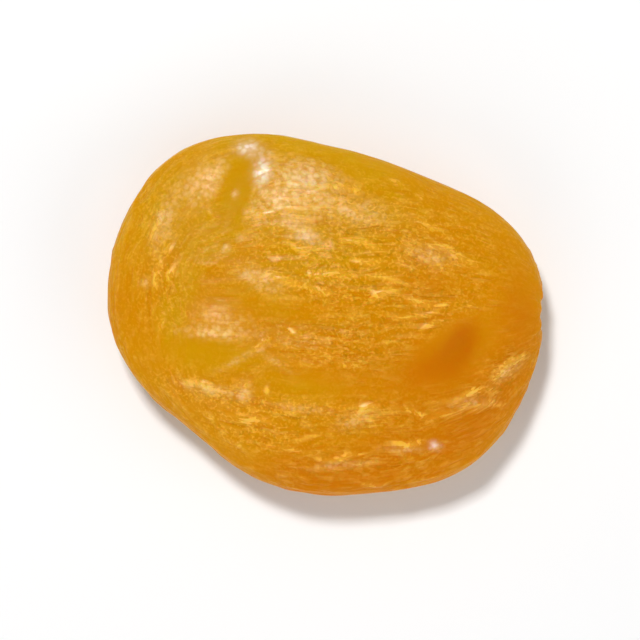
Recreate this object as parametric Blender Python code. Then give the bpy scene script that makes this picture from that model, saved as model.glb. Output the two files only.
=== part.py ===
# A whole dried apricot, stoned and dried flat, lying on its broad side.
# It is one solid: the skin, its folds and the flesh grew and dried as one piece.
# Lengths are in metres. +X runs along the longest way across, +Z is up, and z = 0 is what it lies on.
# The stem end is on the rim towards +X and +Y, and the folds of the skin gather there.

import math
import random

import bmesh
import bpy
import numpy as np
from mathutils import Vector, noise

MM = 0.001

# Driving sizes
LENGTH = 44.0 * MM
WIDTH = 34.4 * MM
THICKNESS = 12.8 * MM
RIM_HEIGHT = 5.2 * MM  # the middle of the rounded rim above the floor
BELLY = 5.35 * MM  # how far the underside would hang below the rim if it weren't pressed flat

# Outline seen from above: an ellipse with a few soft lobes, each (times round, share of the radius, turn)
OUTLINE_LOBES = (
    (1, 0.007, math.radians(-72)),
    (2, 0.014, math.radians(-3)),
    (3, 0.034, math.radians(113)),
    (4, 0.018, math.radians(175)),
    (5, 0.010, math.radians(-104)),
    (6, 0.014, math.radians(-177)),
)
BLUNTNESS = 2.45  # of the cross-section: 2 is an ellipse, and more is boxier

# The line from the tip to the stem end, which the folds follow
STEM_TURN = math.radians(18.6)

# Slow waves of the whole skin
WAVE_SIZE = 8.5 * MM
WAVE_HEIGHT = 0.42 * MM
WAVE_SEED = 31.7

# Swellings and hollows of the upper side, in millimetres and degrees:
# (x, y, half length, half width, turn, height)
SWELLINGS = (
    (16.0, -0.8, 3.0, 1.8, 58, 0.12),  # the dimple's far lip
    (10.4, 3.2, 3.4, 1.1, 56, 0.22),  # its near bank
    (-11.9, 8.9, 4.4, 2.0, 94, -0.28),  # the valley beside the upper swelling
    (-15.2, 8.6, 2.9, 2.4, 30, 0.50),  # the upper swelling
    (-10.0, -4.0, 3.6, 2.1, 20, 0.55),  # the lower swelling
    (-6.8, 9.6, 3.4, 3.8, 60, 0.55),  # the shoulder that the long folds start from
    (-1.5, -1.4, 8.5, 1.9, 14, -0.55),  # the smooth valley through the middle
    (-13.0, -9.5, 4.5, 3.0, -35, 0.30),
    (1.5, -8.2, 7.0, 2.2, 12, 0.35),
    (8.2, 5.4, 6.5, 3.0, 14, 0.35),
    (6.5, -2.4, 3.0, 2.2, 30, -0.30),
)

# The dimple near the stem end: its floor falls gently to the foot of a short wall
DIMPLE_WALL_FOOT = (13.3 * MM, 1.7 * MM)
DIMPLE_FALLS_TOWARDS = math.radians(148)
DIMPLE_FALL = 5.0 * MM
DIMPLE_WALL = 2.0 * MM
DIMPLE_HALF_WIDTH = 2.9 * MM
DIMPLE_DEPTH = 1.0 * MM

# The folds that stand out, in millimetres and degrees, on the upper side:
# (x, y, turn, length, width, height)
MAIN_FOLDS = (
    (-3.8, 11.6, 15, 12.5, 1.10, 0.22),
    (1.2, 7.5, 3, 7.5, 0.90, 0.22),
    (-9.1, 7.2, 32, 5.0, 1.20, 0.28),
    (-3.5, 5.4, 12, 6.5, 1.05, 0.27),
    (-0.8, 3.7, 14, 8.0, 1.00, 0.26),
    (-5.2, 1.7, 4, 6.5, 1.10, 0.27),
    (-1.2, 1.9, 14, 4.5, 1.00, 0.22),
    (2.4, 6.1, 8, 5.0, 1.00, 0.22),
    (4.6, 3.4, 42, 4.5, 1.00, 0.24),
    (8.4, 3.8, 16, 4.0, 1.00, 0.24),
    (6.8, 2.0, 20, 5.0, 0.90, 0.20),
    (10.2, 3.8, 36, 5.0, 0.90, 0.20),
    (10.2, 2.1, 46, 5.0, 0.80, 0.20),
    (10.3, 9.4, -4, 8.5, 1.10, 0.20),
    (6.3, 11.6, -14, 6.0, 1.10, 0.16),
    (2.4, 14.2, -25, 4.0, 0.90, 0.14),
    (5.2, 13.5, 0, 3.0, 0.90, 0.12),
    (-18.3, 3.0, 101, 7.5, 1.00, 0.18),
    (-16.6, 1.1, 60, 2.2, 0.90, 0.20),
    (-16.6, -1.4, 88, 6.5, 1.00, 0.16),
    (-15.4, -1.0, 100, 3.0, 0.90, 0.16),
    (-15.0, -5.8, 112, 6.5, 1.05, 0.12),
    (-13.7, 5.5, 120, 2.4, 0.80, 0.12),
    (-8.9, -10.4, 4, 7.5, 1.05, 0.24),
    (-4.9, -9.0, 100, 1.8, 0.90, 0.20),
    (-3.2, -8.9, 100, 1.6, 0.80, 0.16),
    (-5.0, -4.9, 46, 4.0, 0.95, 0.18),
    (-2.6, -2.8, -10, 3.5, 0.90, 0.14),
    (-1.6, -3.9, 30, 2.5, 0.90, 0.12),
    (3.4, -4.0, -2, 5.5, 0.90, 0.14),
    (-3.0, -12.1, 12, 7.5, 1.00, 0.18),
    (-7.2, -13.4, -22, 7.0, 1.00, 0.12),
    (2.0, -13.4, 14, 11.5, 0.95, 0.12),
    (5.8, -12.9, 24, 7.0, 1.00, 0.22),
    (6.7, -7.8, 40, 4.5, 1.10, 0.28),
    (11.3, -6.4, 12, 5.0, 0.90, 0.14),
    (11.7, -9.4, 20, 5.0, 1.05, 0.22),
    (15.4, -3.3, 30, 9.0, 1.05, 0.22),
    (18.6, 0.7, 54, 6.5, 1.05, 0.24),
)

# The lesser folds all over, drawn at random
LESSER_FOLDS = 210
LESSER_LENGTH = (3.5 * MM, 8.5 * MM)
LESSER_WIDTH = (0.80 * MM, 1.15 * MM)
LESSER_HEIGHT = (0.05 * MM, 0.20 * MM)
FOLD_SEED = 7
FOLD_SCATTER = math.radians(17)  # how far a fold strays from the way the others run
FOLD_SHIFT = math.radians(7)  # how far it is moved round the fruit from an even spread
FOLD_REACH = (0.2, 0.7)  # it ends where the skin turns this far away from the fold's middle
MEANDER_WIDTH = 0.22 * MM
MEANDER_LENGTH = 4.6 * MM
CROWDING = 3  # where folds cross: 1 heaps them up, and more lets the highest one show
PHASE_STEP = 1.7  # between the meanders of one main fold and the next, in radians

# Where the upper side's lesser folds are lower, in millimetres and degrees:
# (x, y, half length, half width, turn, share taken off)
CALM_PLACES = (
    (12.6, 1.0, 4.5, 3.0, 50, 1.00),
    (-11.7, 9.0, 4.5, 1.8, 96, 0.90),
    (6.5, -2.6, 5.0, 2.6, 20, 0.60),
    (-4.5, -1.0, 6.5, 1.8, 8, 0.80),
    (-11.5, -8.0, 6.5, 3.4, 10, 0.85),
    (-2.0, -7.6, 5.0, 1.8, 8, 0.65),
    (-12.4, 5.4, 2.4, 5.0, 80, 0.75),
    (2.0, 14.0, 13.0, 2.2, -8, 0.85),
    (-17.6, -5.0, 6.0, 3.2, 100, 0.60),
    (18.4, 8.0, 5.5, 3.0, 118, 0.70),
)

# The blunt end, where the folds turn and run along the rim
BLUNT_START = 9.5 * MM
BLUNT_END = 14.5 * MM

# The stem end: a puckered pit on the rim, and the tip opposite it: a low point
STEM_PIT_DEPTH = 1.15 * MM
STEM_PIT_WIDTH = 1.5 * MM
STEM_PUCKERS = 9
STEM_PUCKER_HEIGHT = 0.16 * MM
STEM_PUCKER_REACH = 3.2 * MM
TIP_HEIGHT = 0.10 * MM
TIP_WIDTH = 1.6 * MM

# Where the relief is calmer: round the rim, and underneath, down to none on the flat that it lies on
RIM_RELIEF = 0.55
RIM_FADE = (0.10, 0.70)  # of how far the skin faces up or down
UPPER_SIDE = (-0.2, 0.5)  # how far the skin faces up where the swellings start and are full
UNDERSIDE_START = 0.5  # how far down from the rim, as a sine, the underside's relief is reached
UNDERSIDE_RELIEF = 0.85
FLAT_FADE = (0.34, 0.66)  # shares of the way to the rim

# The mesh
CELLS = 76  # along each edge of the cube that is blown up into the fruit
TRIANGLES = 11600  # after thinning

FLESH_COLOUR = (0.66, 0.27, 0.015, 1.0)
FLESH_ROUGHNESS = 0.42
FLESH_SUBSURFACE = 0.6


def smooth_step(values, start, end):
    """0 before start and 1 after end, with a smooth rise between them."""
    share = np.clip((values - start) / (end - start), 0.0, 1.0)
    return share * share * (3.0 - 2.0 * share)


def unit(vectors):
    return vectors / np.linalg.norm(vectors, axis=-1, keepdims=True)


def rim_radius(turn):
    """How far the rim is from the middle, seen from above, at this angle from +X."""
    half_length, half_width = LENGTH / 2, WIDTH / 2
    ellipse = half_length * half_width / np.hypot(half_width * np.cos(turn), half_length * np.sin(turn))
    lobes = sum(share * np.cos(times * turn - start) for times, share, start in OUTLINE_LOBES)
    return ellipse * (1.0 + lobes)


def smooth_skin(directions):
    """Points and outward normals of the fruit with no folds, for unit vectors from its middle."""
    turn = np.arctan2(directions[:, 1], directions[:, 0])
    rise = directions[:, 2]
    spread = np.sqrt(np.clip(1.0 - rise * rise, 0.0, 1.0))
    out = spread ** (2.0 / BLUNTNESS)
    up = np.sign(rise) * np.abs(rise) ** (2.0 / BLUNTNESS)
    radius = rim_radius(turn)
    height = np.where(rise > 0.0, THICKNESS - RIM_HEIGHT, BELLY)
    points = np.stack([radius * out * np.cos(turn), radius * out * np.sin(turn), height * up], axis=1)
    sideways = out ** (BLUNTNESS - 1.0) / radius
    upwards = np.sign(up) * np.abs(up) ** (BLUNTNESS - 1.0) / height
    normals = np.stack([sideways * np.cos(turn), sideways * np.sin(turn), upwards], axis=1)
    return points, unit(normals)


def direction_above(x, y):
    """The unit vector that smooth_skin() sends to the point over (x, y)."""
    turn = math.atan2(y, x)
    share = min(math.hypot(x, y) / float(rim_radius(turn)), 0.999)
    spread = share ** (BLUNTNESS / 2.0)
    rise = math.sqrt(1.0 - spread * spread)
    return np.array([spread * math.cos(turn), spread * math.sin(turn), rise])


def patch(points, x, y, half_length, half_width, turn):
    """1 in the middle of a soft oval patch and 0 well outside it, seen from above."""
    dx, dy = points[:, 0] - x * MM, points[:, 1] - y * MM
    cos, sin = math.cos(math.radians(turn)), math.sin(math.radians(turn))
    along = (dx * cos + dy * sin) / (half_length * MM)
    across = (dy * cos - dx * sin) / (half_width * MM)
    return np.exp(-along * along - across * across)


def flow(points, normals):
    """The way the folds run: to the stem end, and along the rim at the blunt end."""
    stem = np.array([math.cos(STEM_TURN), math.sin(STEM_TURN), 0.0])
    lengthwise = stem - normals * (normals @ stem)[:, None]
    along_rim = np.stack([normals[:, 1], -normals[:, 0], np.zeros(len(normals))], axis=1)
    along_rim *= np.sign(along_rim[:, 1])[:, None]
    blunt = smooth_step(-(points @ stem), BLUNT_START, BLUNT_END)[:, None]
    return unit(lengthwise * (1.0 - blunt) + along_rim * blunt)


class Fold:
    """One raised wrinkle, lying on the smooth skin along the way the others run."""

    def __init__(self, direction, stray, length, width, height, phase):
        points, normals = smooth_skin(direction[None, :])
        self.middle, self.normal = points[0], normals[0]
        run = flow(points, normals)[0]
        side = np.cross(self.normal, run)
        self.along = run * math.cos(stray) + side * math.sin(stray)
        self.across = np.cross(self.normal, self.along)
        self.half_length, self.half_width = length / 2, width / 2
        self.height, self.phase = height, phase

    def calm(self):
        """Lower it where the upper side is calm."""
        if self.normal[2] > 0.0:
            taken = sum(share * patch(self.middle[None, :], *place)[0] for *place, share in CALM_PLACES)
            self.height *= max(1.0 - taken, 0.0)

    def raised(self, points, normals):
        """(which points are near, how high it lifts them)."""
        offset = points - self.middle
        along = offset @ self.along
        near = np.flatnonzero(np.abs(along) < self.half_length)
        along, offset = along[near], offset[near]
        meander = MEANDER_WIDTH * np.sin(2 * math.pi * along / MEANDER_LENGTH + self.phase)
        across = (offset @ self.across - meander) / self.half_width
        facing = np.clip(normals[near] @ self.normal, 0.0, 1.0)
        taper = (1.0 - (along / self.half_length) ** 2) ** 2
        return near, self.height * taper * np.exp(-across * across) * smooth_step(facing, *FOLD_REACH)


def main_folds():
    """The folds that stand out, each turned to its own angle from +X."""
    folds = []
    for number, (x, y, turn, length, width, height) in enumerate(MAIN_FOLDS):
        direction = direction_above(x * MM, y * MM)
        fold = Fold(direction, 0.0, length * MM, width * MM, height * MM, PHASE_STEP * number)
        wanted = np.array([math.cos(math.radians(turn)), math.sin(math.radians(turn)), 0.0])
        fold.along = unit(wanted - fold.normal * (fold.normal @ wanted))
        fold.across = np.cross(fold.normal, fold.along)
        folds.append(fold)
    return folds


def lesser_folds():
    """Short folds spread evenly over the whole skin."""
    draw = random.Random(FOLD_SEED)
    golden = math.pi * (3.0 - math.sqrt(5.0))
    folds = []
    for number in range(LESSER_FOLDS):
        rise = 1.0 - 2.0 * (number + 0.5) / LESSER_FOLDS
        spread = math.sqrt(1.0 - rise * rise)
        turn = number * golden + draw.uniform(-FOLD_SHIFT, FOLD_SHIFT)
        direction = np.array([spread * math.cos(turn), spread * math.sin(turn), rise])
        stray = draw.gauss(0.0, 1.0) * FOLD_SCATTER
        length = draw.uniform(*LESSER_LENGTH)
        width = draw.uniform(*LESSER_WIDTH)
        height = draw.uniform(*LESSER_HEIGHT)
        fold = Fold(direction, stray, length, width, height, draw.uniform(0.0, 2 * math.pi))
        fold.calm()
        folds.append(fold)
    return folds


def folded(points, normals):
    """How high all the folds lift each point. Where two cross, the higher one shows."""
    heaped = np.zeros(len(points))
    for fold in main_folds() + lesser_folds():
        near, lift = fold.raised(points, normals)
        heaped[near] += (lift / MM) ** CROWDING
    return heaped ** (1.0 / CROWDING) * MM


def waves(points):
    """Slow unevenness of the whole fruit."""
    start = Vector((WAVE_SEED, 0.0, 0.0))
    return WAVE_HEIGHT * np.array([noise.noise(Vector(p / WAVE_SIZE) + start) for p in points])


def dimple(points):
    """How deep the dimple near the stem end is."""
    dx, dy = points[:, 0] - DIMPLE_WALL_FOOT[0], points[:, 1] - DIMPLE_WALL_FOOT[1]
    cos, sin = math.cos(DIMPLE_FALLS_TOWARDS), math.sin(DIMPLE_FALLS_TOWARDS)
    along, across = dx * cos + dy * sin, dy * cos - dx * sin
    falling = smooth_step(along, -DIMPLE_FALL, -DIMPLE_WALL / 2)
    rising = smooth_step(along, -DIMPLE_WALL / 2, DIMPLE_WALL)
    return DIMPLE_DEPTH * falling * (1.0 - rising) * np.exp(-((across / DIMPLE_HALF_WIDTH) ** 2))


def swellings(points, normals):
    """The swellings and hollows of the upper side."""
    lift = sum(height * MM * patch(points, *place) for *place, height in SWELLINGS) - dimple(points)
    return lift * smooth_step(normals[:, 2], *UPPER_SIDE)


def stem_and_tip(points):
    """The puckered pit of the stem end, and the low point at the other end."""
    lift = np.zeros(len(points))
    for turn, is_stem in ((STEM_TURN, True), (STEM_TURN + math.pi, False)):
        radius = float(rim_radius(turn))
        offset = points - radius * np.array([math.cos(turn), math.sin(turn), 0.0])
        far = np.linalg.norm(offset, axis=1)
        if not is_stem:
            lift += TIP_HEIGHT * np.exp(-((far / TIP_WIDTH) ** 2))
            continue
        lift -= STEM_PIT_DEPTH * np.exp(-((far / STEM_PIT_WIDTH) ** 2))
        sideways = offset @ np.array([-math.sin(turn), math.cos(turn), 0.0])
        round_pit = np.arctan2(offset[:, 2], sideways)
        band = (far / STEM_PUCKER_REACH) ** 2 * np.exp(1.0 - (far / STEM_PUCKER_REACH) ** 2 * 2.0)
        lift += STEM_PUCKER_HEIGHT * band * np.cos(STEM_PUCKERS * round_pit)
    return lift


def rim_fade(normals):
    """1 on both broad sides, and less where the skin turns over at the rim."""
    return RIM_RELIEF + (1.0 - RIM_RELIEF) * smooth_step(np.abs(normals[:, 2]), *RIM_FADE)


def underside_fade(directions):
    """1 on the upper side, less below, and 0 on the flat that the fruit lies on."""
    spread = np.sqrt(np.clip(1.0 - directions[:, 2] ** 2, 0.0, 1.0)) ** (2.0 / BLUNTNESS)
    below = smooth_step(-directions[:, 2], 0.0, UNDERSIDE_START)
    kept = UNDERSIDE_RELIEF * smooth_step(spread, *FLAT_FADE)
    return 1.0 - below * (1.0 - kept)


def fruit_points(directions):
    """The finished skin for unit vectors from the fruit's middle, standing on z = 0."""
    points, normals = smooth_skin(directions)
    calmed = (waves(points) + folded(points, normals)) * rim_fade(normals)
    relief = calmed + swellings(points, normals) + stem_and_tip(points)
    points = points + normals * (relief * underside_fade(directions))[:, None]
    points[:, 2] = np.maximum(points[:, 2], -RIM_HEIGHT)
    low, high = points.min(axis=0), points.max(axis=0)
    middle = (low + high) / 2
    size = np.array([LENGTH, WIDTH, THICKNESS]) / (high - low)
    return (points - np.array([middle[0], middle[1], low[2]])) * size


def fruit_mesh():
    """A finely cut cube, blown up into a ball and then shaped into the fruit."""
    shape = bmesh.new()
    bmesh.ops.create_cube(shape, size=2.0)
    bmesh.ops.subdivide_edges(shape, edges=shape.edges, cuts=CELLS - 1, use_grid_fill=True)
    # Equal angles, not equal lengths, so that the cells by the cube's corners aren't small
    flat = np.array([v.co for v in shape.verts])
    directions = unit(np.tan(flat * math.pi / 4))
    for vertex, place in zip(shape.verts, fruit_points(directions)):
        vertex.co = place
    bmesh.ops.recalc_face_normals(shape, faces=shape.faces)
    mesh = bpy.data.meshes.new("apricot")
    shape.to_mesh(mesh)
    shape.free()
    mesh.shade_smooth()
    return mesh


def flesh():
    material = bpy.data.materials.new("dried_apricot")
    material.use_nodes = True
    shader = material.node_tree.nodes["Principled BSDF"]
    shader.inputs["Base Color"].default_value = FLESH_COLOUR
    shader.inputs["Roughness"].default_value = FLESH_ROUGHNESS
    shader.inputs["Metallic"].default_value = 0.0
    shader.inputs["Subsurface Weight"].default_value = FLESH_SUBSURFACE
    return material


def build():
    for old in list(bpy.data.objects):
        bpy.data.objects.remove(old)
    fruit = bpy.data.objects.new("apricot", fruit_mesh())
    fruit.data.materials.append(flesh())
    bpy.context.scene.collection.objects.link(fruit)
    # Thinning keeps the triangles where the folds are, and leaves few on the smooth stretches
    thin = fruit.modifiers.new("Thin", "DECIMATE")
    thin.ratio = TRIANGLES / (12 * CELLS * CELLS)


build()
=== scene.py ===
import math
import random

import bmesh
import bpy
import numpy as np
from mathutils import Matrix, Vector, noise


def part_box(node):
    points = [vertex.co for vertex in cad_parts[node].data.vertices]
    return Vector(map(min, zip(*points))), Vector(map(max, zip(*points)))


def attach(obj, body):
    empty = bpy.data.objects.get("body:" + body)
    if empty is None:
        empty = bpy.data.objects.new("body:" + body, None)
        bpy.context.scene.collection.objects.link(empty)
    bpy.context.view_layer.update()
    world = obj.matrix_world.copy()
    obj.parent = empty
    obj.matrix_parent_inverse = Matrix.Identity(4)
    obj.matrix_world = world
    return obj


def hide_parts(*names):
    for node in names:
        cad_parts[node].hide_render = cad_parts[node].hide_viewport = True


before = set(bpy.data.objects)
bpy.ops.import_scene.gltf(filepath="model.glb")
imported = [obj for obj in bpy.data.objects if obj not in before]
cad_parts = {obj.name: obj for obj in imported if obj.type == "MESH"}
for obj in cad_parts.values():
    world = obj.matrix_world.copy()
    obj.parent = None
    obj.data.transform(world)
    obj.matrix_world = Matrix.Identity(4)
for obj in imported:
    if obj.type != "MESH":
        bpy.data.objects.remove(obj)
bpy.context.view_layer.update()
fruitLow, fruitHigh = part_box("apricot")
fruitSize = fruitHigh - fruitLow
mm = 0.001
print("frame loaded, fruit is", [round(side / mm, 2) for side in fruitSize], "mm")

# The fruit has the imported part's form. Its settings are in metres and radians,
# but for the places that a comment gives in mm and degrees.
# +X is the longest way across, and the stem end is on the rim towards +X and +Y.
apricot = {
    "rimHeight": 5.2 * mm,  # above the floor
    "belly": 5.35 * mm,  # how far the underside would bulge below the rim, if it wasn't pressed flat
    "bluntness": 2.45,  # of the cross-section, 2 is an ellipse
    # times round, share of the radius, turn
    "outlineLobes": (
        (1, 0.007, math.radians(-72)),
        (2, 0.014, math.radians(-3)),
        (3, 0.034, math.radians(113)),
        (4, 0.018, math.radians(175)),
        (5, 0.010, math.radians(-104)),
        (6, 0.014, math.radians(-177)),
    ),
    "stemTurn": math.radians(18.6),
    "waveSize": 8.5 * mm,  # of the broad waves under the folds
    "waveHeight": 0.42 * mm,
    "waveSeed": 31.7,
    "upperSide": (-0.2, 0.5),  # how much the skin faces up where swellings start, and where they are whole
    "bluntStart": 9.5 * mm,  # past here the folds turn and run along the rim
    "bluntEnd": 14.5 * mm,
    "stemPit": (1.15 * mm, 1.5 * mm),  # depth, width
    "stemPuckers": (9, 0.16 * mm, 3.2 * mm),  # how many, height, reach
    "tip": (0.10 * mm, 1.6 * mm),  # height, width
    "rimRelief": 0.55,  # share of the folds' height that is left on the rim
    "rimFade": (0.10, 0.70),  # how much the skin faces up or down there, and where the folds are whole
    "undersideStart": 0.5,  # how far down the next two are in full force, where 1 is the lowest point
    "undersideRelief": 0.85,  # share of the relief that is left there
    "flatFade": (0.34, 0.66),  # how far out the flat spot ends, and where that share is reached
    # The dimple near the stem end: its floor falls gently to the foot of a short wall
    "dimple": {
        "wallFoot": (13.3, 1.7),  # mm
        "fallsTowards": math.radians(148),
        "fall": 5.0 * mm,
        "wall": 2.0 * mm,
        "halfWidth": 2.9 * mm,
        "depth": 1.0 * mm,
    },
    # Swellings and hollows in mm and degrees: x, y, half length, half width, turn, height
    "swellings": (
        (16.0, -0.8, 3.0, 1.8, 58, 0.12),  # the dimple's far lip
        (10.4, 3.2, 3.4, 1.1, 56, 0.22),  # its near bank
        (-11.9, 8.9, 4.4, 2.0, 94, -0.28),  # the valley beside the upper swelling
        (-15.2, 8.6, 2.9, 2.4, 30, 0.50),  # the upper swelling
        (-10.0, -4.0, 3.6, 2.1, 20, 0.55),  # the lower swelling
        (-6.8, 9.6, 3.4, 3.8, 60, 0.55),  # the shoulder that the long folds start from
        (-1.5, -1.4, 8.5, 1.9, 14, -0.55),  # the smooth valley through the middle
        (-13.0, -9.5, 4.5, 3.0, -35, 0.30),
        (1.5, -8.2, 7.0, 2.2, 12, 0.35),
        (8.2, 5.4, 6.5, 3.0, 14, 0.35),
        (6.5, -2.4, 3.0, 2.2, 30, -0.30),
    ),
    # The folds that stand out, in mm and degrees: x, y, turn, length, width, height
    "mainFolds": (
        (-3.8, 11.6, 15, 12.5, 1.10, 0.22),
        (1.2, 7.5, 3, 7.5, 0.90, 0.22),
        (-9.1, 7.2, 32, 5.0, 1.20, 0.28),
        (-3.5, 5.4, 12, 6.5, 1.05, 0.27),
        (-0.8, 3.7, 14, 8.0, 1.00, 0.26),
        (-5.2, 1.7, 4, 6.5, 1.10, 0.27),
        (-1.2, 1.9, 14, 4.5, 1.00, 0.22),
        (2.4, 6.1, 8, 5.0, 1.00, 0.22),
        (4.6, 3.4, 42, 4.5, 1.00, 0.24),
        (8.4, 3.8, 16, 4.0, 1.00, 0.24),
        (6.8, 2.0, 20, 5.0, 0.90, 0.20),
        (10.2, 3.8, 36, 5.0, 0.90, 0.20),
        (10.2, 2.1, 46, 5.0, 0.80, 0.20),
        (10.3, 9.4, -4, 8.5, 1.10, 0.20),
        (6.3, 11.6, -14, 6.0, 1.10, 0.16),
        (2.4, 14.2, -25, 4.0, 0.90, 0.14),
        (5.2, 13.5, 0, 3.0, 0.90, 0.12),
        (-18.3, 3.0, 101, 7.5, 1.00, 0.18),
        (-16.6, 1.1, 60, 2.2, 0.90, 0.20),
        (-16.6, -1.4, 88, 6.5, 1.00, 0.16),
        (-15.4, -1.0, 100, 3.0, 0.90, 0.16),
        (-15.0, -5.8, 112, 6.5, 1.05, 0.12),
        (-13.7, 5.5, 120, 2.4, 0.80, 0.12),
        (-8.9, -10.4, 4, 7.5, 1.05, 0.24),
        (-4.9, -9.0, 100, 1.8, 0.90, 0.20),
        (-3.2, -8.9, 100, 1.6, 0.80, 0.16),
        (-5.0, -4.9, 46, 4.0, 0.95, 0.18),
        (-2.6, -2.8, -10, 3.5, 0.90, 0.14),
        (-1.6, -3.9, 30, 2.5, 0.90, 0.12),
        (3.4, -4.0, -2, 5.5, 0.90, 0.14),
        (-3.0, -12.1, 12, 7.5, 1.00, 0.18),
        (-7.2, -13.4, -22, 7.0, 1.00, 0.12),
        (2.0, -13.4, 14, 11.5, 0.95, 0.12),
        (5.8, -12.9, 24, 7.0, 1.00, 0.22),
        (6.7, -7.8, 40, 4.5, 1.10, 0.28),
        (11.3, -6.4, 12, 5.0, 0.90, 0.14),
        (11.7, -9.4, 20, 5.0, 1.05, 0.22),
        (15.4, -3.3, 30, 9.0, 1.05, 0.22),
        (18.6, 0.7, 54, 6.5, 1.05, 0.24),
    ),
    # The lesser folds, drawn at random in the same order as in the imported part
    "folding": {
        "count": 210,  # on both sides together
        "length": (3.5 * mm, 8.5 * mm),
        "width": (0.80 * mm, 1.15 * mm),
        "height": (0.05 * mm, 0.20 * mm),
        "seed": 7,
        "scatter": math.radians(17),  # how far a fold turns off the skin's run
        "shift": math.radians(7),  # how far it stands from its even place
        "reach": (0.2, 0.7),  # how alike the skin faces where it starts to reach, and where it is whole
        "meander": (0.22 * mm, 4.6 * mm),  # width, length
        "phaseStep": 1.7,
        "crowding": 3,  # the higher, the less that crossing folds heap up
        "sharpness": 0.86,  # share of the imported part's fold width, because this mesh is finer
    },
    # Where the lesser folds are calmer, in mm and degrees:
    # x, y, half length, half width, turn, share taken off
    "calmPlaces": (
        (12.6, 1.0, 4.5, 3.0, 50, 1.00),
        (-11.7, 9.0, 4.5, 1.8, 96, 0.90),
        (6.5, -2.6, 5.0, 2.6, 20, 0.60),
        (-4.5, -1.0, 6.5, 1.8, 8, 0.80),
        (-11.5, -8.0, 6.5, 3.4, 10, 0.85),
        (-2.0, -7.6, 5.0, 1.8, 8, 0.65),
        (-12.4, 5.4, 2.4, 5.0, 80, 0.75),
        (2.0, 14.0, 13.0, 2.2, -8, 0.85),
        (-17.6, -5.0, 6.0, 3.2, 100, 0.60),
        (18.4, 8.0, 5.5, 3.0, 118, 0.70),
    ),
    # Small wrinkles in relief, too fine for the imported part: size across, height, seed
    "wrinkles": (
        (1.20 * mm, 0.13 * mm, 3.1),
        (0.80 * mm, 0.06 * mm, 11.4),
    ),
    "wrinkleLevels": (0.0, 0.5),  # of the noise, where a wrinkle starts and where it is whole
    "rimSeedStep": 5.0,  # sets the wrinkles round the rim apart from the lengthwise ones
    # What the skin does where, each in mm and degrees: x, y, half length, half width, turn, strength
    "skinPlaces": {
        # many thin lines, on top of the few that are everywhere
        "lined": (
            (1.2, 6.0, 10.5, 6.2, 14, 0.75),
            (-8.1, -10.9, 3.9, 1.1, 4, 0.9),
            (0.4, -9.7, 4.6, 1.1, 14, 0.7),
            (7.9, -8.2, 3.4, 1.4, 26, 0.8),
            (-2.6, -13.1, 5.5, 1.4, 10, 0.6),
            (9.2, -12.3, 6.4, 1.1, 24, 0.55),
            (18.7, 0.7, 3.4, 1.8, 50, 0.6),
            (16.9, -3.5, 3.7, 1.1, 28, 0.5),
            (-17.0, 0.4, 6.9, 1.8, 114, 0.45),
            (2.3, -2.3, 4.6, 2.1, 18, 0.6),
            (9.9, 2.3, 3.7, 1.4, 50, 0.7),
            (12.9, 0.4, 4.2, 2.6, 50, -1.0),
            (-4.5, -1.0, 6.5, 1.6, 8, -0.4),
            (-11.8, 8.9, 4.2, 1.7, 94, -0.6),
            (-1.0, 15.5, 12.0, 1.8, -4, -0.35),
            (-11.0, -7.2, 4.5, 1.8, 14, -0.4),
            (18.0, 7.5, 5.0, 2.6, 115, -0.35),
            (1.0, -6.6, 4.0, 1.5, 14, -0.35),
        ),
        # pale and pebbly skin, with a painted sheen on it
        "paleSheen": (
            (-15.3, 9.0, 2.2, 1.5, 70, 0.90),
            (-14.4, 11.0, 1.3, 0.9, 60, 0.60),
            (-8.7, 9.4, 2.4, 1.7, 80, 0.50),
            (-3.5, 14.3, 3.2, 0.9, 0, 0.35),
            (-9.8, 7.7, 1.0, 0.8, 0, 0.60),
            (-6.1, 12.8, 2.7, 1.8, 10, 1.00),
            (-5.6, 10.3, 3.2, 1.5, 10, 0.72),
            (-4.2, 7.6, 1.8, 0.8, -8, 0.70),
            (-17.6, 4.7, 3.2, 1.0, 94, 0.50),
            (-0.2, 11.4, 3.2, 1.3, 8, 0.60),
            (-6.9, 1.9, 2.2, 0.8, -8, 0.80),
            (-9.0, -3.4, 2.5, 1.1, 10, 0.60),
            (-9.5, -4.6, 2.8, 0.45, 14, 0.90),
            (8.3, 9.5, 1.8, 0.8, 5, 0.60),
            (6.5, -8.2, 1.6, 0.7, 40, 0.45),
            (16.6, -3.1, 2.0, 0.5, 24, 0.40),
            (19.3, 1.2, 1.6, 0.6, 54, 0.35),
            (-7.8, -9.9, 2.8, 0.45, 7, 0.75),
            (-4.9, -9.0, 0.9, 0.6, 100, 0.70),
            (-5.8, -5.7, 2.4, 0.30, 45, 0.55),
            (-3.0, -5.2, 1.6, 0.35, -15, 0.35),
            (1.0, -8.9, 2.8, 0.35, 12, 0.40),
            (6.5, -13.0, 2.6, 0.35, 23, 0.45),
            (11.7, -9.6, 1.8, 0.35, 15, 0.50),
            (-11.1, 3.8, 0.45, 0.45, 0, 0.70),
            (-17.6, -2.0, 0.45, 0.45, 0, 0.60),
            (-18.2, 4.9, 0.45, 0.45, 0, 0.60),
            (-9.8, 14.1, 0.45, 0.45, 0, 0.60),
            (-10.1, 5.2, 0.45, 0.45, 0, 0.50),
            (-1.5, 7.2, 0.45, 0.45, 0, 0.70),
            (-11.9, 9.1, 0.9, 0.5, 94, 1.10),
            (-11.9, 8.7, 3.4, 1.2, 94, -0.65),
            (-2.0, 16.0, 8.0, 1.5, -4, -0.60),
        ),
        # small places painted near-white as glints, a painted highlight; they also get more coat
        "paintedGlint": (
            (-12.2, 13.9, 1.0, 0.65, 18, 1.0),
            (-10.1, 12.2, 1.3, 0.75, 108, 1.0),
            (-5.7, 12.6, 1.7, 0.9, 10, 0.25),
            (-4.1, 7.4, 1.4, 0.7, -10, 0.20),
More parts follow.
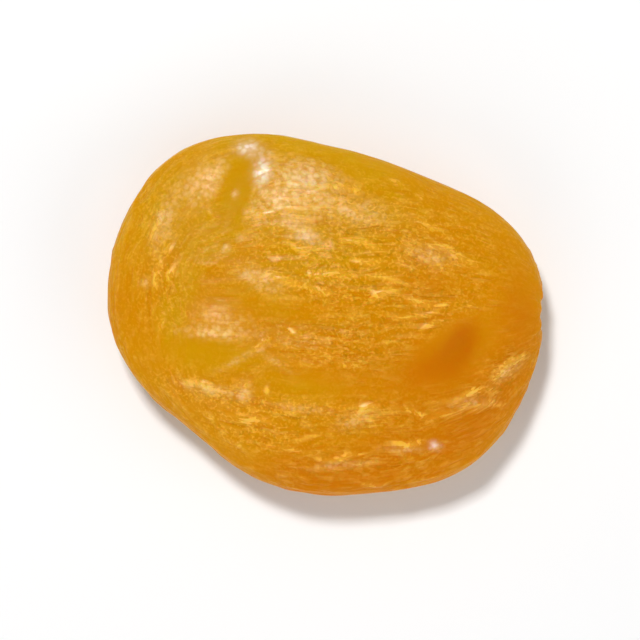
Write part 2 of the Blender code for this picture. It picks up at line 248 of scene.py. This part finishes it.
            (14.7, -8.2, 0.5, 0.4, 0, 0.75),
        ),
        "golden": (
            (-11.9, 9.2, 4.6, 1.8, 96, 1.0),
            (-13.4, 4.0, 3.0, 2.0, 70, 0.9),
            (-13.8, 0.0, 4.0, 1.5, 95, 0.7),
            (-1.6, 15.7, 7.5, 1.8, -4, 0.7),
            (-11.8, 15.0, 4.5, 2.0, 22, 0.8),
            (-18.0, 5.0, 6.0, 3.0, 75, 0.9),
            (-14.1, -4.7, 2.6, 1.6, 108, 0.9),
            (-9.0, -6.8, 5.5, 2.2, 14, 0.9),
            (2.0, 12.1, 4.5, 2.0, 8, 0.4),
            (1.2, -7.0, 4.4, 1.8, 18, 0.6),
            (-7.5, 0.0, 4.0, 3.0, 18, 0.4),
            (-1.0, 6.0, 8.0, 5.0, 14, 0.6),
            (-9.0, 10.0, 8.0, 5.5, 0, 0.7),
        ),
        # deeper orange skin at the rims; in the dimple and over the lower right, away from the key light,
        # it is painted shade
        "orangeAndShade": (
            (13.9, 2.1, 2.3, 1.2, 80, 1.0),
            (11.8, -0.6, 3.0, 2.0, 45, 0.40),
            (16.0, -0.5, 5.0, 4.5, 60, 0.35),
            (19.0, 6.6, 7.5, 3.2, 112, 0.60),
            (6.8, -15.6, 13.0, 3.6, 16, 0.80),
            (18.3, -5.4, 6.5, 3.5, 54, 0.65),
            (-20.5, -7.2, 8.0, 2.2, 112, 0.60),
            (-11.3, -15.5, 6.5, 2.4, -22, 0.60),
            (-3.2, 9.4, 1.2, 0.6, 18, 0.50),
            (9.4, 6.8, 3.2, 1.6, 18, 0.30),
            (5.0, -3.5, 5.0, 2.5, 18, 0.25),
            (10.5, -7.8, 7.0, 5.0, 30, 0.42),
            (8.0, 3.5, 5.5, 4.5, 20, 0.28),
        ),
    },
    # The side that the picture doesn't show has patches of the same kinds, placed by noise
    "underside": {
        "takesOver": (0.10, -0.35),  # how much the skin faces up where they start, and where they are whole
        # size, noise level where a patch starts, level where it is strongest, strength
        "patches": {
            "lined": (5.0 * mm, -0.25, 0.30, 0.6),
            "paleSheen": (4.2 * mm, 0.15, 0.55, 0.9),
            "golden": (8.0 * mm, 0.00, 0.50, 0.8),
            "orangeAndShade": (6.5 * mm, 0.00, 0.50, 0.7),
        },
    },
    # How the skin's lines run
    "lining": {
        "stretch": 7.0,  # how many times longer than wide a line is
        "poles": 0.54,  # how far from the middle the lines would meet, as a share of the fruit's length
        "leastNarrowing": 0.15,  # keeps the lines apart at the two ends
        "warpSize": 4.5 * mm,  # of the wavering in the lines
        "warp": 0.55 * mm,
        "warpSeed": 4,
        "leastLined": 0.45,  # how lined the skin is outside the lined places
    },
    # A crest's pale gold, partly paler skin and partly a painted highlight, is strongest at this height of
    # a fold, or of a main fold, and wrinkles count by this share
    "crests": (0.4 * mm, 0.14 * mm, 0.6),
    "meshing": {
        "cells": (196, 164, 46),  # of the block that is blown up into the fruit, along x, y and z
        "topShare": 0.8,  # how much of the way from the middle to the rim the block's top covers
        "profileSteps": 2001,  # along the fruit's section, to spread the cells evenly
    },
}

stemTurn = apricot["stemTurn"]
stemWay = np.array([math.cos(stemTurn), math.sin(stemTurn), 0.0])
sideWay = np.array([-math.sin(stemTurn), math.cos(stemTurn), 0.0])


def smoothStep(values, start, end):
    share = np.clip((values - start) / (end - start), 0.0, 1.0)
    return share * share * (3.0 - 2.0 * share)


def unit(vectors):
    return vectors / np.linalg.norm(vectors, axis=-1, keepdims=True)


def rimRadius(turn):
    halfLength, halfWidth = fruitSize.x / 2, fruitSize.y / 2
    ellipse = halfLength * halfWidth / np.hypot(halfWidth * np.cos(turn), halfLength * np.sin(turn))
    lobes = sum(share * np.cos(times * turn - start) for times, share, start in apricot["outlineLobes"])
    return ellipse * (1.0 + lobes)


def smoothSkin(directions):
    # points and outward normals with no folds, for unit vectors from the middle
    blunt = apricot["bluntness"]
    turn = np.arctan2(directions[:, 1], directions[:, 0])
    rise = directions[:, 2]
    out = np.sqrt(np.clip(1.0 - rise * rise, 0.0, 1.0)) ** (2.0 / blunt)
    up = np.sign(rise) * np.abs(rise) ** (2.0 / blunt)
    radius = rimRadius(turn)
    height = np.where(rise > 0.0, fruitSize.z - apricot["rimHeight"], apricot["belly"])
    points = np.stack([radius * out * np.cos(turn), radius * out * np.sin(turn), height * up], axis=1)
    sideways = out ** (blunt - 1.0) / radius
    upwards = np.sign(up) * np.abs(up) ** (blunt - 1.0) / height
    return points, unit(np.stack([sideways * np.cos(turn), sideways * np.sin(turn), upwards], axis=1))


def directionAbove(x, y):
    turn = math.atan2(y, x)
    share = min(math.hypot(x, y) / float(rimRadius(turn)), 0.999)  # kept inside the rim
    spread = share ** (apricot["bluntness"] / 2.0)
    return np.array([spread * math.cos(turn), spread * math.sin(turn), math.sqrt(1.0 - spread * spread)])


def bluntShare(points):
    return smoothStep(-(points @ stemWay), apricot["bluntStart"], apricot["bluntEnd"])


def flow(points, normals):
    # the way the folds run: to the stem end, and along the rim at the blunt end
    lengthwise = stemWay - normals * (normals @ stemWay)[:, None]
    alongRim = np.stack([normals[:, 1], -normals[:, 0], np.zeros(len(normals))], axis=1)
    alongRim *= np.sign(alongRim[:, 1])[:, None]
    blunt = bluntShare(points)[:, None]
    return unit(lengthwise * (1.0 - blunt) + alongRim * blunt)


def patch(points, x, y, halfLength, halfWidth, turn):
    # 1 in the middle of a soft oval patch, seen from above
    dx, dy = points[:, 0] - x * mm, points[:, 1] - y * mm
    cos, sin = math.cos(math.radians(turn)), math.sin(math.radians(turn))
    along = (dx * cos + dy * sin) / (halfLength * mm)
    across = (dy * cos - dx * sin) / (halfWidth * mm)
    return np.exp(-along * along - across * across)


def patches(points, places):
    return sum(share * patch(points, *place) for *place, share in places)


class Fold:
    def __init__(self, direction, stray, length, width, height, phase):
        points, normals = smoothSkin(direction[None, :])
        self.middle, self.normal = points[0], normals[0]
        run = flow(points, normals)[0]
        self.turnTo(run * math.cos(stray) + np.cross(self.normal, run) * math.sin(stray))
        self.halfLength, self.halfWidth = length / 2, width / 2 * apricot["folding"]["sharpness"]
        self.height, self.phase = height, phase

    def turnTo(self, way):
        self.along = unit(way - self.normal * (self.normal @ way))
        self.across = np.cross(self.normal, self.along)

    def calm(self):
        if self.normal[2] > 0.0:
            self.height *= max(1.0 - patches(self.middle[None, :], apricot["calmPlaces"])[0], 0.0)

    def raised(self, points, normals):
        offset = points - self.middle
        along = offset @ self.along
        near = np.flatnonzero(np.abs(along) < self.halfLength)
        along, offset = along[near], offset[near]
        swing, swingLength = apricot["folding"]["meander"]
        meander = swing * np.sin(2 * math.pi * along / swingLength + self.phase)
        across = (offset @ self.across - meander) / self.halfWidth
        facing = np.clip(normals[near] @ self.normal, 0.0, 1.0)
        taper = (1.0 - (along / self.halfLength) ** 2) ** 2
        reach = smoothStep(facing, *apricot["folding"]["reach"])
        return near, self.height * taper * np.exp(-across * across) * reach


def allFolds():
    folding = apricot["folding"]
    folds = []
    for number, (x, y, turn, length, width, height) in enumerate(apricot["mainFolds"]):
        phase = folding["phaseStep"] * number
        fold = Fold(directionAbove(x * mm, y * mm), 0.0, length * mm, width * mm, height * mm, phase)
        fold.turnTo(np.array([math.cos(math.radians(turn)), math.sin(math.radians(turn)), 0.0]))
        folds.append(fold)
    draw = random.Random(folding["seed"])
    goldenTurn = math.pi * (3.0 - math.sqrt(5.0))
    for number in range(folding["count"]):
        rise = 1.0 - 2.0 * (number + 0.5) / folding["count"]
        spread = math.sqrt(1.0 - rise * rise)
        turn = number * goldenTurn + draw.uniform(-folding["shift"], folding["shift"])
        direction = np.array([spread * math.cos(turn), spread * math.sin(turn), rise])
        stray = draw.gauss(0.0, 1.0) * folding["scatter"]
        length = draw.uniform(*folding["length"])
        width = draw.uniform(*folding["width"])
        height = draw.uniform(*folding["height"])
        fold = Fold(direction, stray, length, width, height, draw.uniform(0.0, 2 * math.pi))
        fold.calm()
        folds.append(fold)
    return folds


def folded(points, normals):
    # the lift of all the folds, and of those that stand out alone
    crowding = apricot["folding"]["crowding"]
    heaped = np.zeros((2, len(points)))
    for number, fold in enumerate(allFolds()):
        near, lift = fold.raised(points, normals)
        heaped[0, near] += (lift / mm) ** crowding
        if number < len(apricot["mainFolds"]):
            heaped[1, near] += (lift / mm) ** crowding
    return heaped ** (1.0 / crowding) * mm


def waves(points):
    start = Vector((apricot["waveSeed"], 0.0, 0.0))
    heights = [noise.noise(Vector(p / apricot["waveSize"]) + start) for p in points]
    return apricot["waveHeight"] * np.array(heights)


def dimpled(points):
    dimple = apricot["dimple"]
    x, y = dimple["wallFoot"]
    dx, dy = points[:, 0] - x * mm, points[:, 1] - y * mm
    cos, sin = math.cos(dimple["fallsTowards"]), math.sin(dimple["fallsTowards"])
    along, across = dx * cos + dy * sin, dy * cos - dx * sin
    falling = smoothStep(along, -dimple["fall"], -dimple["wall"] / 2)
    rising = smoothStep(along, -dimple["wall"] / 2, dimple["wall"])
    return dimple["depth"] * falling * (1.0 - rising) * np.exp(-((across / dimple["halfWidth"]) ** 2))


def swollen(points, normals):
    lift = sum(height * mm * patch(points, *place) for *place, height in apricot["swellings"])
    return (lift - dimpled(points)) * smoothStep(normals[:, 2], *apricot["upperSide"])


def fromRim(points, turn):
    return points - float(rimRadius(turn)) * np.array([math.cos(turn), math.sin(turn), 0.0])


def stemAndTip(points):
    # a pit with puckers round it at the stem end, and a small point at the other end
    tipHeight, tipWidth = apricot["tip"]
    pitDepth, pitWidth = apricot["stemPit"]
    count, puckerHeight, reach = apricot["stemPuckers"]
    offset = fromRim(points, stemTurn)
    far = np.linalg.norm(offset, axis=1)
    lift = -pitDepth * np.exp(-((far / pitWidth) ** 2))
    ring = (far / reach) ** 2 * np.exp(1.0 - (far / reach) ** 2 * 2.0)  # highest at 0.7 of the reach
    lift += puckerHeight * ring * np.cos(count * np.arctan2(offset[:, 2], offset @ sideWay))
    far = np.linalg.norm(fromRim(points, stemTurn + math.pi), axis=1)
    return lift + tipHeight * np.exp(-((far / tipWidth) ** 2))


def rimFade(normals):
    least = apricot["rimRelief"]
    return least + (1.0 - least) * smoothStep(np.abs(normals[:, 2]), *apricot["rimFade"])


def undersideFade(directions):
    spread = np.sqrt(np.clip(1.0 - directions[:, 2] ** 2, 0.0, 1.0)) ** (2.0 / apricot["bluntness"])
    below = smoothStep(-directions[:, 2], 0.0, apricot["undersideStart"])
    return 1.0 - below * (1.0 - apricot["undersideRelief"] * smoothStep(spread, *apricot["flatFade"]))


def stretchedPlaces(points):
    # places squeezed one way, so that noise read at them makes long lines:
    # from the tip to the stem end like the lines on a globe, and round the rim
    lining = apricot["lining"]
    along = points @ stemWay
    towardsPole = along / (fruitSize.x * lining["poles"])
    narrowing = np.sqrt(np.clip(1.0 - towardsPole**2, lining["leastNarrowing"], 1.0))
    across = points @ sideWay / narrowing
    turn = np.arctan2(points @ sideWay, -(points @ stemWay))  # 0 at the tip, so it jumps at the stem end
    outwards = np.hypot(points[:, 0], points[:, 1])
    noise.seed_set(lining["warpSeed"])  # without it, noise_vector is another one on every run
    warp = np.array([noise.noise_vector(Vector(p) / lining["warpSize"]) for p in points]) * lining["warp"]
    lengthwise = np.stack([along / lining["stretch"], across, points[:, 2] / narrowing], axis=1)
    roundRim = np.stack([turn * fruitSize.y / 2 / lining["stretch"], outwards, points[:, 2]], axis=1)
    return lengthwise + warp, roundRim + warp


def noisePatches(points, size, level, strongest):
    value = np.array([noise.noise(Vector(p) / size) for p in points])
    return smoothStep(value, level, strongest)


def skinMask(name, points, seen):
    # how much of one kind of skin there is, by places on the side seen and by noise on the other
    hidden = apricot["underside"]["patches"]
    mask = patches(points, apricot["skinPlaces"][name]) * seen
    if name in hidden:
        size, level, strongest, strength = hidden[name]
        mask += noisePatches(points, size, level, strongest) * strength * (1.0 - seen)
    return mask


def wrinkles(places, size, seed):
    # long soft islands where the noise is high
    start = Vector((seed, 2.0 * seed, -seed))
    value = np.array([noise.noise(Vector(p) / size + start) for p in places])
    return smoothStep(value, *apricot["wrinkleLevels"])


def blockGrid(shape):
    # a block cut into a fine grid, with fewer cells up its sides
    bmesh.ops.create_cube(shape, size=2.0)
    for axis, cells in enumerate(apricot["meshing"]["cells"]):
        running = [e for e in shape.edges if abs((e.verts[0].co - e.verts[1].co)[axis]) > 1.0]
        bmesh.ops.subdivide_edges(shape, edges=running, cuts=cells - 1, use_grid_fill=True)


def blockDirections(places):
    # the block's points as unit vectors, spread evenly over the skin
    a, b, c = places.T
    u, v = a * np.sqrt(1.0 - b * b / 2.0), b * np.sqrt(1.0 - a * a / 2.0)
    top = apricot["meshing"]["topShare"]
    out = np.hypot(u, v)
    aboveBottom = c > -0.999
    travel = np.where(aboveBottom, top * out + (1.0 - top) * (1.0 - c), 2.0 - top * out)
    polar = np.linspace(0.0, math.pi / 2, apricot["meshing"]["profileSteps"])
    radius = (fruitSize.x + fruitSize.y) / 4
    under = travel > 1.0
    angle = np.zeros(len(places))
    for side, height in ((~under, fruitSize.z - apricot["rimHeight"]), (under, apricot["belly"])):
        x = radius * np.sin(polar) ** (2.0 / apricot["bluntness"])
        z = height * np.cos(polar) ** (2.0 / apricot["bluntness"])
        length = np.concatenate([[0.0], np.cumsum(np.hypot(np.diff(x), np.diff(z)))])
        way = np.where(under, 2.0 - travel, travel)[side]
        angle[side] = np.interp(way, length / length[-1], polar)
    turn = np.arctan2(v, u)
    spread = np.sin(angle)
    rise = np.cos(angle) * np.where(under, -1.0, 1.0)
    return np.stack([spread * np.cos(turn), spread * np.sin(turn), rise], axis=1)


def smallWrinkles(lengthwise, roundRim, lined, blunt):
    lift = np.zeros(len(lined))
    for size, height, seed in apricot["wrinkles"]:
        straight = wrinkles(lengthwise, size, seed)
        curved = wrinkles(roundRim, size, seed + apricot["rimSeedStep"])
        lift += height * (straight * (1.0 - blunt) + curved * blunt) * np.clip(lined, 0.0, 1.0)
    return lift


def fitted(points):
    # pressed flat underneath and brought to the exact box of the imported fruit
    points[:, 2] = np.maximum(points[:, 2], -apricot["rimHeight"])
    low, high = points.min(axis=0), points.max(axis=0)
    middle = (low + high) / 2
    points = (points - np.array([middle[0], middle[1], low[2]])) * np.array(fruitSize) / (high - low)
    return points + np.array([(fruitLow.x + fruitHigh.x) / 2, (fruitLow.y + fruitHigh.y) / 2, fruitLow.z])


def keepOnMesh(mesh, masks, places):
    for name, values in masks.items():
        values = np.clip(values, 0.0, 1.0).astype(np.float32)
        mesh.attributes.new(name, "FLOAT", "POINT").data.foreach_set("value", values)
    for name, values in places.items():
        values = values.astype(np.float32).ravel()
        mesh.attributes.new(name, "FLOAT_VECTOR", "POINT").data.foreach_set("vector", values)


def meshOf(shape, name):
    mesh = bpy.data.meshes.new(name)
    shape.to_mesh(mesh)
    shape.free()
    return mesh


def placed(name, content):
    made = bpy.data.objects.new(name, content)
    bpy.context.scene.collection.objects.link(made)
    return made


def makeFruit():
    shape = bmesh.new()
    blockGrid(shape)
    directions = blockDirections(np.array([v.co for v in shape.verts]))
    plain, normals = smoothSkin(directions)
    blunt, fade = bluntShare(plain), rimFade(normals)
    start, whole = apricot["underside"]["takesOver"]
    seen = smoothStep(normals[:, 2], whole, start)
    lined = apricot["lining"]["leastLined"] + skinMask("lined", plain, seen)
    lengthwise, roundRim = stretchedPlaces(plain)
    fine = smallWrinkles(lengthwise, roundRim, lined, blunt)
    folds, standing = folded(plain, normals)
    print("folds and small wrinkles worked out for", len(plain), "points")

    relief = (waves(plain) + folds) * fade + fine + swollen(plain, normals) + stemAndTip(plain)
    points = fitted(plain + normals * (relief * undersideFade(directions))[:, None])
    for vertex, place in zip(shape.verts, points):
        vertex.co = place
    bmesh.ops.recalc_face_normals(shape, faces=shape.faces)
    mesh = meshOf(shape, "driedApricot")
    mesh.shade_smooth()

    foldHeight, mainFoldHeight, wrinkleShare = apricot["crests"]
    masks = {name: skinMask(name, points, seen) for name in ("paleSheen", "paintedGlint", "golden", "orangeAndShade")}
    masks["lined"] = lined * (1.0 - seen + seen * fade)
    masks["crest"] = (folds + fine * wrinkleShare) / foldHeight * fade
    masks["standing"] = standing / mainFoldHeight * fade
    masks["blunt"] = blunt
    keepOnMesh(mesh, masks, {"lengthwise": lengthwise, "roundRim": roundRim})
    return placed("driedApricot", mesh)


class Wire:
    # a node's socket that plain sums can be written with
    def __init__(self, sheet, socket):
        self.sheet = sheet
        self.socket = socket

    def maths(self, operation, *values):
        return self.sheet.node("ShaderNodeMath", {"operation": operation}, dict(enumerate(values)))

    def __add__(self, other):
        return self.maths("ADD", self, other)

    def __radd__(self, other):
        return self.maths("ADD", other, self)

    def __sub__(self, other):
        return self.maths("SUBTRACT", self, other)

    def __rsub__(self, other):
        return self.maths("SUBTRACT", other, self)

    def __mul__(self, other):
        return self.maths("MULTIPLY", self, other)

    def __rmul__(self, other):
        return self.maths("MULTIPLY", other, self)

    def __abs__(self):
        return self.maths("ABSOLUTE", self)


class Sheet:
    # one material's nodes
    def __init__(self, name):
        self.material = bpy.data.materials.new(name)
        self.material.use_nodes = True
        self.tree = self.material.node_tree
        self.tree.nodes.clear()

    def node(self, kind, settings=None, sockets=None, output=0):
        made = self.tree.nodes.new(kind)
        for name, value in (settings or {}).items():
            setattr(made, name, value)
        for name, value in (sockets or {}).items():
            if isinstance(value, Wire):
                self.tree.links.new(value.socket, made.inputs[name])
            else:
                made.inputs[name].default_value = value
        return Wire(self, made.outputs[output]) if made.outputs else made

    def mix(self, share, first, second):
        # a Mix node names its sockets alike for each kind, so the colour ones go by number
        return self.node("ShaderNodeMix", {"data_type": "RGBA"}, {0: share, 6: first, 7: second}, 2)

    def between(self, value, low, high, newLow=0.0, newHigh=1.0):
        places = {"Value": value, "From Min": low, "From Max": high, "To Min": newLow, "To Max": newHigh}
        return self.node("ShaderNodeMapRange", {"interpolation_type": "SMOOTHSTEP"}, places)

    def attribute(self, name, output):
        return self.node("ShaderNodeAttribute", {"attribute_name": name}, output=output)

    def noise(self, place, size, detail):
        sockets = {"Vector": place, "Scale": 1 / size, "Detail": detail}
        return self.node("ShaderNodeTexNoise", None, sockets)

    def islands(self, place, size, detail, start, whole):
        # 1 where the noise is high
        return self.between(self.noise(place, size, detail), start, whole)

    def lines(self, place, size, detail, thinness):
        # 1 along thin lines where the noise crosses its middle
        away = abs(self.noise(place, size, detail) - 0.5)
        return self.between(away * thinness, 0.0, 1.0, 1.0, 0.0)

    def pebbles(self, place, size, smoothness):
        # 1 on the middle of each pebble
        sockets = {"Vector": place, "Scale": 1 / size, "Smoothness": smoothness}
        return 1.0 - self.node("ShaderNodeTexVoronoi", {"feature": "SMOOTH_F1"}, sockets)


flesh = {
    "amber": (0.655, 0.268, 0.001, 1.0),
    "goldenAmber": (0.63, 0.316, 0.001, 1.0),
    # deep orange: the skin's deeper tone, also used as painted shade
    "deepOrange": (0.60, 0.18, 0.001, 1.0),
    "olive": (0.44, 0.21, 0.001, 1.0),
    # pale gold: paler skin on crests, beads and lines, partly a painted highlight along the ridges
    "paleGoldAndHighlight": (0.94, 0.52, 0.045, 1.0),
    # pale cream for the painted sheen on the pale pebbly skin
    "paintedSheenColour": (0.93, 0.60, 0.21, 1.0),
    # near-white for the painted glints
    "paintedGlintColour": (1.0, 0.86, 0.70, 1.0),
    # plain noises: size, detail
    "mottle": (6.0 * mm, 3.0),
    "sheenNoise": (0.55 * mm, 1.0),
    "grain": (0.28 * mm, 0.5),
    # islands in a noise: size, detail, level where they start, level where they are whole
    "runs": (1.4 * mm, 1.0, 0.40, 0.60),  # the stretches where the lines are unbroken
    "dashes": (0.46 * mm, 1.0, 0.54, 0.68),
    "beads": (0.48 * mm, 1.0, 0.50, 0.60),
    "specks": (0.45 * mm, 0.5, 0.58, 0.72),
    # the troughs between the lines, pressed down in relief and painted deeper orange as shade
    "troughs": (0.8 * mm, 1.5, 0.52, 0.66),
    "beadLength": 2.0,  # how many times longer than wide a bead is
    # thin lines: size across, detail, thinness, strength
    "lines": ((1.5 * mm, 1.5, 13.0, 0.45), (0.8 * mm, 1.5, 11.0, 0.35)),
    "pebbles": (0.55 * mm, 0.6),  # size, smoothness
    # markings made of a mask or a noise: its level where they start and where they are whole,
    # then how strong they are at both, if not 0 and 1
    "ridges": (0.16, 0.58),
    "folds": (0.20, 1.0),
    "flecks": (0.52, 0.66),
    "granules": (0.35, 0.70, 0.4, 1.0),
    # where the painted sheen shows on the pale skin
    "paintedSheen": (0.40, 0.56, 0.55, 1.0),
    # how much each marking counts
    "mottling": (0.8, 0.5),  # for the golden skin, for the orange skin and its painted shade
    "dashShare": 0.6,
    "troughShade": 0.25,
    "speckShares": (0.5, 0.35),  # on lined skin, on pale skin
    "paintedSheenShare": 1.1,
    "leastBeaded": 0.6,  # how strong the beads are in the breaks of the lines
    "beadShares": {"ridges": 0.5, "folds": 0.5, "paleSheen": 0.5, "lined": 0.30},
    "paleGoldAndHighlightShares": {"ridges": 0.20, "folds": 0.10, "beads": 0.90, "lines": 0.4, "flecks": 0.4},
    "roughShares": {"paintedSheen": 1.0, "golden": 0.5, "sheenNoise": 0.3},
    "glossShares": {"paintedSheen": 0.4, "paintedGlint": 1.0, "beads": 0.5, "lines": 0.25, "ridges": 0.1},
    "reliefShares": {
        "pebbles": 0.20,
        "palePebbles": 0.7,
        "grain": 0.2,
        "lines": 0.8,
        "beads": 0.7,
        "troughs": -0.3,
    },
    "roughness": (0.32, 0.46),  # on smooth skin, on pale pebbly skin
    "leastGloss": 0.02,  # coat weight on smooth skin
    "glossRoughness": 0.36,
    "bump": (1.0, 0.20 * mm),  # strength, height
    "subsurface": (0.9, (1.0, 0.33, 0.06), 2.4 * mm),  # weight, radius of each colour, scale
    "ior": 1.05,
}


def weighed(marks, shares):
    return sum(marks[name] * share for name, share in shares.items())


def fleshMarks(sheet):
    # the markings that the colour, the gloss and the relief are made of, by name
    masks = ("lined", "crest", "standing", "paleSheen", "paintedGlint", "golden", "orangeAndShade")
    marks = {name: sheet.attribute(name, "Fac") for name in masks}
    lined, paleSheen = marks["lined"], marks["paleSheen"]
    place = sheet.node("ShaderNodeTexCoord", output="Object")
    lengthwise, roundRim = sheet.attribute("lengthwise", "Vector"), sheet.attribute("roundRim", "Vector")
    blunt = sheet.attribute("blunt", "Fac")
    beadScale = (apricot["lining"]["stretch"] / flesh["beadLength"], 1.0, 1.0)

    def bothWays(make):
        # lengthwise over most of the fruit, round the rim at the blunt end
        straight = make(lengthwise)
        return straight + (make(roundRim) - straight) * blunt

    def beads(way):
        shorter = sheet.node("ShaderNodeVectorMath", {"operation": "MULTIPLY"}, {0: way, 1: beadScale})
        return sheet.islands(shorter, *flesh["beads"])

    marks["mottle"] = sheet.noise(place, *flesh["mottle"]) - 0.5
    sheenNoise = sheet.noise(place, *flesh["sheenNoise"])
    marks["sheenNoise"] = sheenNoise - 0.5
    marks["grain"] = sheet.noise(place, *flesh["grain"])
    marks["specks"] = sheet.islands(place, *flesh["specks"])
    marks["pebbles"] = sheet.pebbles(place, *flesh["pebbles"])
    marks["palePebbles"] = marks["pebbles"] * paleSheen
    marks["granules"] = sheet.between(marks["pebbles"], *flesh["granules"])
    # the painted sheen, broken up by noise and pebbles
    marks["paintedSheen"] = paleSheen * sheet.between(sheenNoise, *flesh["paintedSheen"]) * marks["granules"]
    marks["flecks"] = sheet.between(marks["grain"], *flesh["flecks"]) * (1.0 - marks["orangeAndShade"]) * lined
    marks["ridges"] = sheet.between(marks["crest"], *flesh["ridges"])
    marks["folds"] = sheet.between(marks["standing"], *flesh["folds"])

    runs = sheet.islands(place, *flesh["runs"])
    lines = bothWays(lambda way: sheet.islands(way, *flesh["dashes"])) * flesh["dashShare"]
    for *line, strength in flesh["lines"]:
        lines = lines + bothWays(lambda way: sheet.lines(way, *line)) * strength
    marks["lines"] = lines * lined * runs
    marks["troughs"] = bothWays(lambda way: sheet.islands(way, *flesh["troughs"])) * lined
    beaded = runs * (1.0 - flesh["leastBeaded"]) + flesh["leastBeaded"]
    marks["beads"] = bothWays(beads) * beaded * weighed(marks, flesh["beadShares"])
    return marks


def fleshColour(sheet, marks):
    goldenMottling, orangeMottling = flesh["mottling"]
    linedSpecks, paleSpecks = flesh["speckShares"]
    golden = sheet.between(marks["golden"] + marks["mottle"] * goldenMottling, 0.0, 1.0)
    orangeAndShade = sheet.between(marks["orangeAndShade"] + marks["mottle"] * orangeMottling, 0.0, 1.0)
    specks = marks["lined"] * marks["lined"] * linedSpecks + marks["paleSheen"] * paleSpecks
    colour = sheet.mix(golden, flesh["amber"], flesh["goldenAmber"])
    # deeper orange skin, with painted shade in the dimple and over the lower right
    colour = sheet.mix(orangeAndShade, colour, flesh["deepOrange"])
    # painted shade: deeper orange in the troughs between the lines
    colour = sheet.mix(marks["troughs"] * flesh["troughShade"], colour, flesh["deepOrange"])
    colour = sheet.mix(marks["specks"] * specks, colour, flesh["olive"])
    # pale gold on crests, lines, beads and flecks: partly paler skin, partly a painted highlight
    colour = sheet.mix(weighed(marks, flesh["paleGoldAndHighlightShares"]), colour, flesh["paleGoldAndHighlight"])
    # painted sheen: pale cream painted over the pale pebbly patches in place of the light's broad shine
    colour = sheet.mix(marks["paintedSheen"] * flesh["paintedSheenShare"], colour, flesh["paintedSheenColour"])
    # painted highlight: near-white glints painted where the light catches the skin
    return sheet.mix(marks["paintedGlint"] * marks["granules"], colour, flesh["paintedGlintColour"])


def makeFlesh():
    sheet = Sheet("driedApricotFlesh")
    marks = fleshMarks(sheet)
    smooth, pebbly = flesh["roughness"]
    strength, height = flesh["bump"]
    weight, radius, scale = flesh["subsurface"]
    relief = weighed(marks, flesh["reliefShares"])
    bump = sheet.node("ShaderNodeBump", None, {"Strength": strength, "Distance": height, "Height": relief})
    skin = sheet.node(
        "ShaderNodeBsdfPrincipled",
        {"subsurface_method": "RANDOM_WALK"},
        {
            "Base Color": fleshColour(sheet, marks),
            "Roughness": sheet.between(weighed(marks, flesh["roughShares"]), 0.0, 1.0, smooth, pebbly),
            "Normal": bump,
            "IOR": flesh["ior"],
            "Coat Weight": weighed(marks, flesh["glossShares"]) + flesh["leastGloss"],
            "Coat Roughness": flesh["glossRoughness"],
            "Subsurface Weight": weight,
            "Subsurface Radius": radius,
            "Subsurface Scale": scale,
        },
    )
    sheet.node("ShaderNodeOutputMaterial", None, {"Surface": skin})
    return sheet.material


studio = {
    "floorSide": 1.6,
    "floorDrop": 0.05 * mm,
    "floorColour": (0.95, 0.95, 0.95, 1.0),
    "floorRoughness": 0.8,
    "skyColour": (1.0, 1.0, 1.0, 1.0),
    "skyStrength": 0.24,
    # where each soft light stands from the fruit, its side and its power
    "lights": {
        "keyLight": ((-0.15, 0.17, 0.51), 0.085, 2.05),
        "rightLight": ((0.58, -0.10, 0.22), 0.70, 1.8),
        "nearLight": ((-0.10, -0.60, 0.22), 0.70, 1.7),
    },
    "pictureTilt": math.radians(18.5),  # the fruit's long axis slopes down to the right in the picture
    "lens": 200,
    "clip": (0.01, 10.0),  # nearest and farthest seen, as shares of the camera's distance
    "pictureWidth": 64 * mm,  # how much the picture shows at the fruit's height
}


def makeStudio():
    shape = bmesh.new()
    bmesh.ops.create_grid(shape, x_segments=1, y_segments=1, size=studio["floorSide"] / 2)
    bmesh.ops.translate(shape, verts=shape.verts, vec=(0, 0, fruitLow.z - studio["floorDrop"]))
    floor = placed("floor", meshOf(shape, "floor"))
    sheet = Sheet("paleFloor")
    paint = {"Base Color": studio["floorColour"], "Roughness": studio["floorRoughness"]}
    matt = sheet.node("ShaderNodeBsdfPrincipled", None, paint)
    sheet.node("ShaderNodeOutputMaterial", None, {"Surface": matt})
    floor.data.materials.append(sheet.material)

    world = bpy.data.worlds.new("studioAir")
    world.use_nodes = True
    air = world.node_tree.nodes["Background"].inputs
    air["Color"].default_value = studio["skyColour"]
    air["Strength"].default_value = studio["skyStrength"]
    bpy.context.scene.world = world

    for name, (stand, side, power) in studio["lights"].items():
        lamp = bpy.data.lights.new(name, "AREA")
        lamp.shape = "SQUARE"
        lamp.size = side
        lamp.energy = power
        light = placed(name, lamp)
        light.location = stand
        light.rotation_euler = (-Vector(stand)).to_track_quat("-Z", "Y").to_euler()


def makeCamera():
    lens = bpy.data.cameras.new("camera")
    lens.lens = studio["lens"]
    away = studio["pictureWidth"] * lens.lens / lens.sensor_width
    nearest, farthest = studio["clip"]
    lens.clip_start, lens.clip_end = away * nearest, away * farthest
    camera = placed("camera", lens)
    middle = (fruitLow + fruitHigh) / 2
    camera.location = (middle.x, middle.y, middle.z + away)
    camera.rotation_euler = (0.0, 0.0, studio["pictureTilt"])
    bpy.context.scene.camera = camera


fruit = makeFruit()
fruit.data.materials.append(makeFlesh())
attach(fruit, "root")
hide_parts("apricot")
print("fruit made with", len(fruit.data.polygons) * 2, "triangles")

makeStudio()
makeCamera()
bpy.context.scene.view_settings.view_transform = "Standard"
print("floor, lights and camera set")
